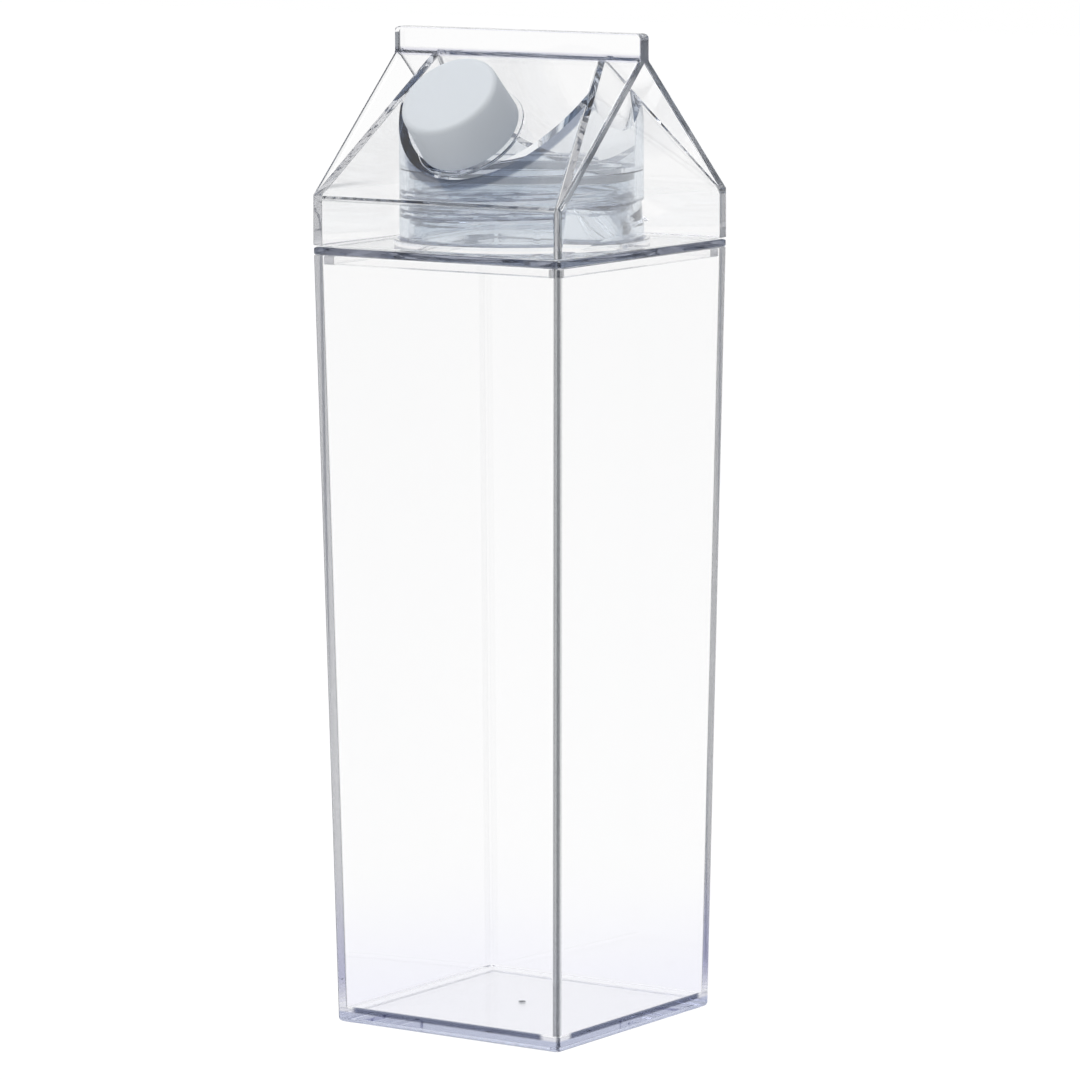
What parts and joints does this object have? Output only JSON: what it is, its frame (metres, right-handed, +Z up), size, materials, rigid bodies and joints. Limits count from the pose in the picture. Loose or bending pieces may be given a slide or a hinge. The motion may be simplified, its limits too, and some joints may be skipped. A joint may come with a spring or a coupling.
{
  "type": "carton-shaped plastic bottle",
  "caption": "Clear square carton-shaped drinks bottle, empty, with a gable-roofed screw-on lid, a seal ring and a small white screw cap on a slanted spout.",
  "frame": {"origin": "centre of the square foot, on the surface that the bottle stands on", "axes": "+Z up along the bottle, X along the roof ridge, -Y the side with the spout"},
  "size_m": [0.0762, 0.0787, 0.2552],
  "materials": {
    "clear_plastic": "clear, polished, moulded",
    "seal_silicone": "translucent, satin",
    "white_plastic": "satin, moulded"
  },
  "bodies": {
    "root": {"cup": "clear_plastic", "shoulder_neck": "clear_plastic", "gable_lid": "clear_plastic", "seal_ring": "seal_silicone", "spout_cap": "white_plastic"}
  },
  "joints": []
}
